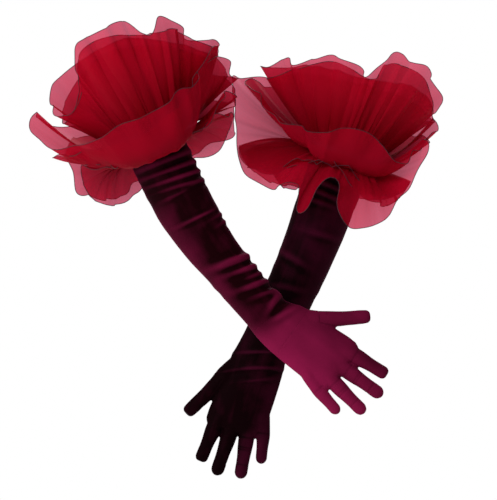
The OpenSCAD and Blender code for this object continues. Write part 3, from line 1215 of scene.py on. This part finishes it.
    def place_hand_piece(self, piece: bpy.types.Object, part: str) -> None:
        """Says what a piece of the hand stands for, and fixes the panels and the thumb's base to the hand.

        Args:
            piece: The piece.
            part: Its name, without its glove's.
        """
        named = self.arm.side.named
        hand = named("hand")
        if part == "hand_back":
            self.finish(piece, hand, [named("back_panel"), named("knuckle_folds"), named("fourchettes")])
        elif part == "hand_palm":
            self.finish(piece, hand, [named("palm_panel")])
        elif part == "thumb_base":
            self.finish(piece, hand, [named("thumb_gusset"), named("thumb_fold")])
        else:
            digit = Digit(part.split("_")[0])
            stall = THUMB_STALL if digit is Digit.THUMB else next(f for f in STALLS if f.digit is digit)
            self.finish(piece, "", [named(digit.value + "_stall")])
            start = self.stall_cut(stall)
            named(digit.value)
            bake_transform(piece)


# ---------------------------------------------------------------- the ruffle


@dataclass(frozen=True)
class Ply:
    """One gathered strip of organza, from the tape to its rolled rim.

    rim holds (bearing, reach, rise, belly) at each lobe and notch: where the rim is round the arm,
    how far from the arm's axis, how far up the arm, and how far the strip bows up on its way there.
    The strip starts neck_rise up the arm, in pleats folds of pleat_depth, and seed sets its wander.
    """

    name: str
    tier: str
    neck_rise: float
    pleats: int
    pleat_depth: float
    rim: tuple
    seed: int = 0


RIGHT_PLIES = (
    Ply("upper_outer", "upper", 8, 9, 5.5, (
        (150, 84, 150, 60), (165, 98, 142, 55), (178, 107, 122, 50), (192, 115, 102, 50), (208, 98, 92, 50),
        (222, 82, 112, 60), (236, 86, 155, 70), (247, 92, 174, 75), (261, 94, 174, 75), (275, 93, 176, 75),
        (294, 90, 173, 70), (309, 98, 139, 60), (318, 113, 156, 60), (327, 120, 142, 55), (338, 121, 125, 50),
        (347, 112, 108, 45), (357, 143, 92, 35), (372, 136, 75, 30), (392, 112, 112, 45), (420, 90, 148, 60),
        (450, 80, 160, 65), (480, 80, 156, 65)), 1),
    Ply("upper_inner", "upper", 6, 9, 5.5, (
        (185, 106, 88, 45), (205, 96, 90, 50), (222, 84, 116, 60), (240, 86, 156, 70), (258, 84, 166, 72),
        (280, 82, 162, 70), (298, 84, 150, 62), (312, 100, 138, 55), (326, 116, 132, 50), (340, 116, 112, 45),
        (356, 136, 82, 35), (375, 128, 74, 30), (400, 100, 118, 45), (430, 80, 142, 60), (465, 74, 148, 60),
        (500, 84, 130, 55), (525, 96, 108, 50)), 2),
    Ply("middle_outer", "middle", 0, 7, 2.6, (
        (187, 137, 114, 5), (191, 150, 107, 0), (197, 153, 82, -10), (204, 143, 56, -20), (218, 126, 44, -35),
        (235, 117, 40, -52), (253, 117, 43, -62), (270, 118, 38, -66), (288, 118, 40, -64),
        (303, 119, 50, -56),
        (314, 124, 44, -40), (328, 118, 62, -15), (344, 132, 70, 0), (352, 138, 68, 10), (358, 149, 54, 15),
        (365, 140, 38, 15), (372, 150, 28, 15), (390, 130, 55, 20), (420, 108, 72, 25), (450, 98, 76, 25),
        (480, 106, 72, 25), (510, 120, 80, 20), (530, 132, 102, 10)), 3),
    Ply("middle_inner", "middle", 3, 9, 5.0, (
        (190, 138, 52, 0), (210, 126, 36, -20), (238, 100, 24, -35), (266, 88, 18, -40), (296, 94, 28, -35),
        (322, 116, 52, -10), (338, 132, 80, 20), (350, 140, 84, 25), (362, 134, 52, 15), (374, 138, 18, 0),
        (386, 134, 4, -5), (404, 118, 30, 10), (430, 104, 52, 20), (470, 102, 50, 20), (510, 120, 58, 10),
        (532, 132, 40, 5)), 4),
    Ply("lower_outer", "lower", -6, 11, 4.5, (
        (120, 100, -38, 10), (132, 102, -42, 10), (147, 107, -43, 10), (160, 114, -37, 10),
        (172, 121, -24, 10),
        (180, 134, -11, 10), (188, 125, 18, 5), (196, 126, 40, 0), (212, 104, 10, -5), (240, 80, -12, -10),
        (270, 74, -14, -10), (300, 82, -12, -10), (325, 98, -8, -5), (345, 117, 12, 0), (362, 132, 10, 5),
        (374, 118, -20, 10), (392, 119, -44, 10), (410, 106, -34, 10), (425, 98, -38, 10),
        (440, 100, -44, 10),
        (460, 100, -42, 10)), 5),
    Ply("lower_inner", "lower", -8, 11, 4.5, (
        (118, 92, -46, 10), (140, 98, -54, 10), (160, 106, -50, 10), (178, 120, -22, 10), (195, 112, 20, 5),
        (212, 94, 2, 0), (235, 76, -14, -10), (270, 70, -16, -10), (305, 78, -14, -10), (335, 96, -8, -5),
        (365, 118, -12, 5), (385, 108, -34, 10), (405, 104, -50, 10), (428, 92, -46, 10),
        (452, 92, -48, 10)), 6),
)

LEFT_PLIES = (
    Ply("upper_outer", "upper", 8, 9, 5.0, (
        (180, 104, 104, 50), (195, 112, 119, 55), (202, 113, 131, 60), (215, 107, 143, 65),
        (224, 108, 156, 65),
        (233, 109, 163, 70), (244, 103, 158, 70), (251, 95, 166, 75), (259, 91, 163, 72), (267, 87, 138, 65),
        (275, 89, 117, 60), (281, 92, 125, 60), (290, 96, 129, 60), (301, 98, 131, 60), (311, 104, 129, 55),
        (322, 117, 111, 50), (332, 126, 100, 45), (338, 130, 108, 45), (347, 146, 86, 35), (354, 154, 84, 35),
        (370, 125, 92, 35), (395, 100, 112, 45), (425, 86, 116, 50), (455, 82, 122, 55), (485, 88, 132, 55),
        (515, 98, 124, 50)), 7),
    Ply("upper_inner", "upper", 6, 9, 5.0, (
        (190, 104, 96, 45), (207, 106, 120, 50), (223, 104, 142, 60), (240, 98, 150, 70), (256, 86, 148, 70),
        (270, 82, 118, 60), (290, 90, 120, 55), (310, 102, 120, 50), (328, 118, 98, 40), (345, 140, 72, 30),
        (365, 136, 72, 30), (390, 102, 98, 40), (420, 84, 106, 45), (460, 80, 112, 45), (500, 86, 112, 45),
        (528, 94, 102, 45)), 8),
    Ply("middle_outer", "middle", 0, 9, 3.5, (
        (178, 112, 94, 20), (184, 114, 82, 15), (191, 106, 62, 10), (199, 118, 60, 5), (204, 121, 36, 0),
        (210, 125, 12, -10), (216, 130, -12, -15), (222, 127, -32, -20), (228, 137, -58, -20),
        (235, 143, -74, -25),
        (244, 146, -88, -30), (252, 139, -92, -30), (261, 132, -78, -30), (269, 112, -42, -40),
        (277, 112, -56, -30),
        (287, 112, -98, -20), (294, 108, -62, -20), (305, 122, -72, -20), (312, 120, -80, -20),
        (323, 148, -74, -20),
        (334, 152, -58, -15), (346, 155, -33, -10), (355, 168, 10, 0), (361, 190, 50, 15), (367, 176, 60, 20),
        (376, 154, 70, 25), (396, 126, 74, 30), (425, 108, 82, 30), (460, 104, 84, 30), (495, 106, 86, 30),
        (520, 110, 92, 25)), 9),
    Ply("middle_inner", "middle", 3, 9, 4.5, (
        (190, 108, 64, 10), (207, 110, 38, -10), (226, 112, 18, -35), (244, 112, 32, -48),
        (260, 112, 42, -54),
        (277, 112, 36, -52), (293, 116, 18, -45), (312, 128, 16, -25), (332, 146, 28, -5), (348, 162, 48, 10),
        (362, 166, 58, 20), (380, 136, 62, 25), (410, 112, 66, 25), (455, 102, 70, 25), (500, 100, 66, 20),
        (530, 104, 66, 20)), 10),
    Ply("lower_outer", "lower", -6, 11, 4.5, (
        (180, 104, -8, 5), (200, 104, -30, 0), (222, 106, -48, 0), (245, 98, -42, -5), (268, 86, -20, -10),
        (290, 84, -18, -10), (308, 94, -30, -5), (326, 122, -58, 0), (340, 142, -56, 5), (352, 148, -34, 10),
        (368, 134, -52, 10), (388, 120, -66, 10), (410, 110, -68, 10), (435, 106, -62, 10),
        (465, 100, -52, 10),
        (495, 102, -40, 10), (520, 104, -22, 10)), 11),
    Ply("lower_inner", "lower", -8, 11, 4.5, (
        (190, 94, -26, 0), (225, 94, -36, 0), (260, 80, -16, 0), (300, 86, -26, 0), (328, 114, -64, 5),
        (348, 132, -44, 10), (368, 120, -64, 10), (392, 108, -54, 10), (416, 108, -70, 10),
        (445, 98, -52, 10),
        (490, 96, -36, 10)), 12),
)


def closed_curve(controls: np.ndarray, t: np.ndarray) -> np.ndarray:
    """A closed Catmull-Rom curve.

    Args:
        controls: One row a control point.
        t: Places along the curve, from 0 to 1.

    Returns:
        One row a place.
    """
    count = len(controls)
    spot = (t % 1.0) * count
    i = np.floor(spot).astype(int)
    w = (spot - i)[:, None]
    a, b, c, d = (controls[(i + k) % count] for k in (-1, 0, 1, 2))
    square = 2 * a - 5 * b + 4 * c - d
    cube = 3 * b - a - 3 * c + d
    return 0.5 * (2 * b + (c - a) * w + square * w ** 2 + cube * w ** 3)


@dataclass
class Ruffle:
    """The organza ruffle of one glove.

    Each strip is a grid of columns round the arm by rows from the neck to the rim. neck_radius, tuck
    and flutter are in millimetres, and bow_share is how far out the strip bows on its way.
    """

    arm: Arm
    wardrobe: Wardrobe
    plies: tuple
    columns: int = 330
    rows: int = 36
    neck_radius: float = 45.6
    hem_radius: float = 0.5 * MM
    bow_share: float = 0.55
    tuck: float = 1.0
    flutter: float = 1.6
    track_steps: int = 1201

    def surface(self, ply: Ply, u: np.ndarray, v: np.ndarray) -> np.ndarray:
        """The strip's points in the cuff's axes, in metres.

        Args:
            ply: The strip.
            u: Places round the strip, from 0 to 1, a column each.
            v: Places from the neck to the rim, from 0 to 1, a row each.

        Returns:
            An array of rows by columns by 3.
        """
        table = np.array(ply.rim, float)
        angle = np.radians(table[:, 0])
        rim = np.column_stack([table[:, 1] * np.cos(angle), table[:, 1] * np.sin(angle), table[:, 2]])
        controls = np.column_stack([rim, np.cos(angle), np.sin(angle), table[:, 3]])
        fine = np.linspace(0, 1, self.track_steps)
        track = closed_curve(controls, fine)[:, :3]
        walked = np.concatenate([[0], np.cumsum(np.linalg.norm(np.diff(track, axis=0), axis=1))])
        t = np.interp(u, walked / walked[-1], fine)
        row = closed_curve(controls, t)
        rim, out, belly = row[:, :3], row[:, 3:5], row[:, 5]
        out = out / np.linalg.norm(out, axis=1)[:, None]
        neck = np.column_stack([out * self.neck_radius, np.full(len(u), float(ply.neck_rise))])
        reach = np.linalg.norm(rim[:, :2], axis=1)
        bow_reach = self.neck_radius + self.bow_share * (reach - self.neck_radius)
        bow = np.column_stack([out * bow_reach[:, None], ply.neck_rise + belly])
        w = v[:, None, None]
        base = (1 - w) ** 2 * neck + 2 * w * (1 - w) * bow + w ** 2 * rim
        return self.pleated(ply, base, u, v) * MM

    def pleated(self, ply: Ply, base: np.ndarray, u: np.ndarray, v: np.ndarray) -> np.ndarray:
        """Throws a smooth strip into gathers at the neck, pleats and a fluttering rim.

        Args:
            ply: The strip.
            base: Its smooth points, rows by columns by 3.
            u: Places round the strip.
            v: Places from neck to rim.

        Returns:
            The pleated points.
        """
        rng = np.random.default_rng(ply.seed)
        ahead = np.roll(base[:, :-1], -1, axis=1) - np.roll(base[:, :-1], 1, axis=1)
        ahead = np.concatenate([ahead, ahead[:, :1]], axis=1)
        outward = np.gradient(base, axis=0)
        normal = np.cross(ahead, outward)
        normal /= np.maximum(np.linalg.norm(normal, axis=2, keepdims=True), 1e-9)
        ahead /= np.maximum(np.linalg.norm(ahead, axis=2, keepdims=True), 1e-9)
        wander = sum(rng.uniform(-0.5, 0.5) * np.sin(2 * np.pi * (k * u + rng.random()))
                     for k in range(1, 6))
        size = 1.0 + sum(rng.uniform(-0.35, 0.35) * np.sin(2 * np.pi * (k * u + rng.random()))
                         for k in range(2, 7))
        v = v[:, None]
        fan = 2 * np.pi * ply.pleats * u + 2.6 * wander
        crisp = np.arcsin(0.97 * np.sin(fan)) * 2 / np.pi
        broad = ply.pleat_depth * size * (1.15 * crisp + 0.35 * np.sin(2 * fan + 0.7))
        broad = broad * smooth_step(v / 0.35) * (0.35 + 0.65 * v)
        tucks = 2 * np.pi * 4 * ply.pleats * u + 9 * wander
        tuck = self.tuck * (np.sin(tucks) + 0.4 * np.sin(1.6 * tucks + 1.0)) * smooth_step(v / 0.08)
        tuck = tuck * (1 - grown(v, 0.12, 0.6))
        ripple = np.sin(2 * np.pi * (2 * ply.pleats + 3) * u + 4 * wander)
        flutter = self.flutter * ripple * grown(v, 0.6, 0.4)
        lean = 0.5 * ply.pleat_depth * np.sin(2 * fan + 0.5) * smooth_step(v / 0.35)
        return base + normal * (broad + tuck + flutter)[..., None] + ahead * lean[..., None]

    def build_ply(self, ply: Ply) -> list:
        """Builds one strip and its hem.

        Args:
            ply: The strip.

        Returns:
            The strip and the hem.
        """
        named = self.arm.side.named
        u = np.linspace(0, 1, self.columns + 1)
        v = np.linspace(0, 1, self.rows + 1)
        points = self.surface(ply, u, v)
        to_row = np.array(self.arm.cuff_matrix())
        placed = points @ to_row[:3, :3].T + to_row[:3, 3]
        bm = bmesh.new()
        bm.loops.layers.uv.new("UVMap")
        bmesh.ops.create_grid(bm, x_segments=self.columns, y_segments=self.rows, size=0.5, calc_uvs=True)
        # 0 at the neck and 1 at the rim: painted shade towards the neck in the organza's colour, and denser thread
        #                                 cover there.
        gather = bm.verts.layers.float.new("gather")
        length = float(np.linalg.norm(np.diff(placed[-1], axis=0), axis=1).sum())
        drop = float(np.linalg.norm(np.diff(placed, axis=0), axis=2).sum(0).mean())
        for vert in bm.verts:
            i = round((vert.co.x + 0.5) * self.columns)
            j = round((vert.co.y + 0.5) * self.rows)
            vert.co = placed[j, i]
            vert[gather] = v[j]
        layer = bm.loops.layers.uv["UVMap"]
        for face in bm.faces:
            for loop in face.loops:
                place = loop[layer].uv
                loop[layer].uv = (place.x * length, place.y * drop)
        bmesh.ops.remove_doubles(bm, verts=bm.verts, dist=1e-6)
        name = named(f"{ply.name}_organza")
        area = sum(face.calc_area() for face in bm.faces)
        sheet = add_object(name, mesh_from(name, bm))
        sheet.data.materials.append(self.wardrobe.organza)
        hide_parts(named(f"ruffle_{ply.tier}_tier"))
        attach(sheet, named("upper"))
        hem = thread_tube(named(f"{ply.name}_rolled_hem"), placed[-1, :-1], self.hem_radius, True)
        hem.data.materials.append(self.wardrobe.hem)
        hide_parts(named(f"{ply.tier}_hem"))
        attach(hem, named("upper"))
        named("gathering_tape")
        LOG.info("%s: strip %.3f by %.3f m, area %.4f m2", name, length, area / length, area)
        return [sheet, hem]

    def build(self) -> list:
        """Builds every strip of the ruffle.

        Returns:
            The strips and their hems.
        """
        return [piece for ply in self.plies for piece in self.build_ply(ply)]


@dataclass
class Cuff:
    """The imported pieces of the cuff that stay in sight, with their real cloth."""

    arm: Arm
    wardrobe: Wardrobe

    def build(self) -> list:
        """Dresses the band, tape, elastic and the seams along the sleeve.

        Returns:
            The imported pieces, each with its material.
        """
        finishes = {
            "cuff_band": self.wardrobe.velvet(self.arm.side),
            "gathering_tape": self.wardrobe.tape,
            "cuff_elastic": self.wardrobe.elastic,
            "upper_seam": self.wardrobe.hem,
            "forearm_seam": self.wardrobe.hem,
        }
        dressed = []
        for part, material in finishes.items():
            node = frame["nodes"][self.arm.side.named(part)]
            node.data.materials.clear()
            node.data.materials.append(material)
            dressed.append(node)
        return dressed


# ---------------------------------------------------------------- the studio


@dataclass
class Studio:
    """The floor, lights and camera round the gloves."""

    view_width: float = 0.7207
    distance: float = 9.0
    sensor: float = 36.0
    aim: Vector = field(default_factory=lambda: Vector((0.1327, 0.052, -0.1537)))
    floor_drop: float = 0.62
    floor_size: float = 2.6

    def lamp(self, name: str, place: tuple, power: float, size: float) -> None:
        """Adds a square area light that points at the gloves.

        Args:
            name: The light's name.
            place: Where it stands, from the middle of the gloves.
            power: Its power in watts.
            size: The length of its side.
        """
        data = bpy.data.lights.new(name, "AREA")
        data.energy = power
        data.size = size
        lamp = bpy.data.objects.new(name, data)
        bpy.context.scene.collection.objects.link(lamp)
        lamp.location = self.aim + Vector(place)
        lamp.rotation_euler = (-Vector(place)).to_track_quat("-Z", "Y").to_euler()

    def world(self) -> None:
        """A white backdrop that lights the gloves more softly than it looks."""
        world = bpy.data.worlds.new("backdrop")
        bpy.context.scene.world = world
        world.use_nodes = True
        nodes = NodeTree(world.node_tree)
        soft = world.node_tree.nodes["Background"]
        soft.inputs["Color"].default_value = (1.0, 0.98, 0.98, 1.0)
        soft.inputs["Strength"].default_value = 0.55
        white = nodes.add("Background")
        white.inputs["Color"].default_value = (1.0, 1.0, 1.0, 1.0)
        white.inputs["Strength"].default_value = 1.0
        ray = nodes.add("LightPath")
        mix = nodes.add("MixShader")
        nodes.join(ray.outputs["Is Camera Ray"], mix.inputs[0])
        nodes.join(soft.outputs[0], mix.inputs[1])
        nodes.join(white.outputs[0], mix.inputs[2])
        nodes.join(mix.outputs[0], world.node_tree.nodes["World Output"].inputs["Surface"])

    def floor(self) -> None:
        """A pale round floor well below the gloves."""
        bm = bmesh.new()
        middle = Vector((self.aim.x, self.aim.y, CAD_BOX[0][2] - self.floor_drop))
        bmesh.ops.create_circle(bm, cap_ends=True, segments=96, radius=self.floor_size,
                                matrix=Matrix.Translation(middle))
        floor = add_object("floor", mesh_from("floor", bm, smooth=False))
        material = bpy.data.materials.new("pale_floor")
        material.use_nodes = True
        nodes = NodeTree(material.node_tree)
        shader = material.node_tree.nodes["Principled BSDF"]
        where = nodes.add("TexCoord")
        grain = nodes.add("TexNoise")
        grain.inputs["Scale"].default_value = 6.0
        nodes.join(where.outputs["Object"], grain.inputs["Vector"])
        nodes.join(nodes.ramp(grain.outputs["Fac"], ((0.3, (0.84, 0.83, 0.82)), (0.7, (0.88, 0.87, 0.86)))),
                   shader.inputs["Base Color"])
        shader.inputs["Roughness"].default_value = 0.8
        floor.data.materials.append(material)

    def camera(self) -> None:
        """The camera, square on to the gloves."""
        data = bpy.data.cameras.new("camera")
        data.sensor_width = self.sensor
        data.lens = self.sensor * self.distance / self.view_width
        camera = bpy.data.objects.new("camera", data)
        bpy.context.scene.collection.objects.link(camera)
        camera.location = self.aim - BACK * self.distance
        camera.rotation_euler = (math.radians(90), 0.0, 0.0)
        bpy.context.scene.camera = camera

    def build(self) -> None:
        """Builds the studio."""
        self.world()
        self.floor()
        self.lamp("key", (-1.2, -1.7, 1.1), 42.0, 0.9)
        self.lamp("edge", (-1.7, -0.4, -0.5), 10.0, 0.8)
        self.lamp("back", (0.3, 1.5, 1.3), 24.0, 1.0)
        self.camera()
        bpy.context.scene.view_settings.view_transform = "Standard"


def main() -> None:
    """Builds the pair and its studio."""
    logging.basicConfig(level=logging.INFO, format="%(message)s")
    wardrobe = Wardrobe()
    for side, plies in ((Side.RIGHT, RIGHT_PLIES), (Side.LEFT, LEFT_PLIES)):
        arm = Arm(side)
        for part in (Cuff(arm, wardrobe), GloveBody(arm, wardrobe), Ruffle(arm, wardrobe, plies)):
            for piece in part.build():
                LOG.info("%s: %s", type(part).__name__, piece.name)
    Studio().build()


if __name__ == "__main__":
    main()
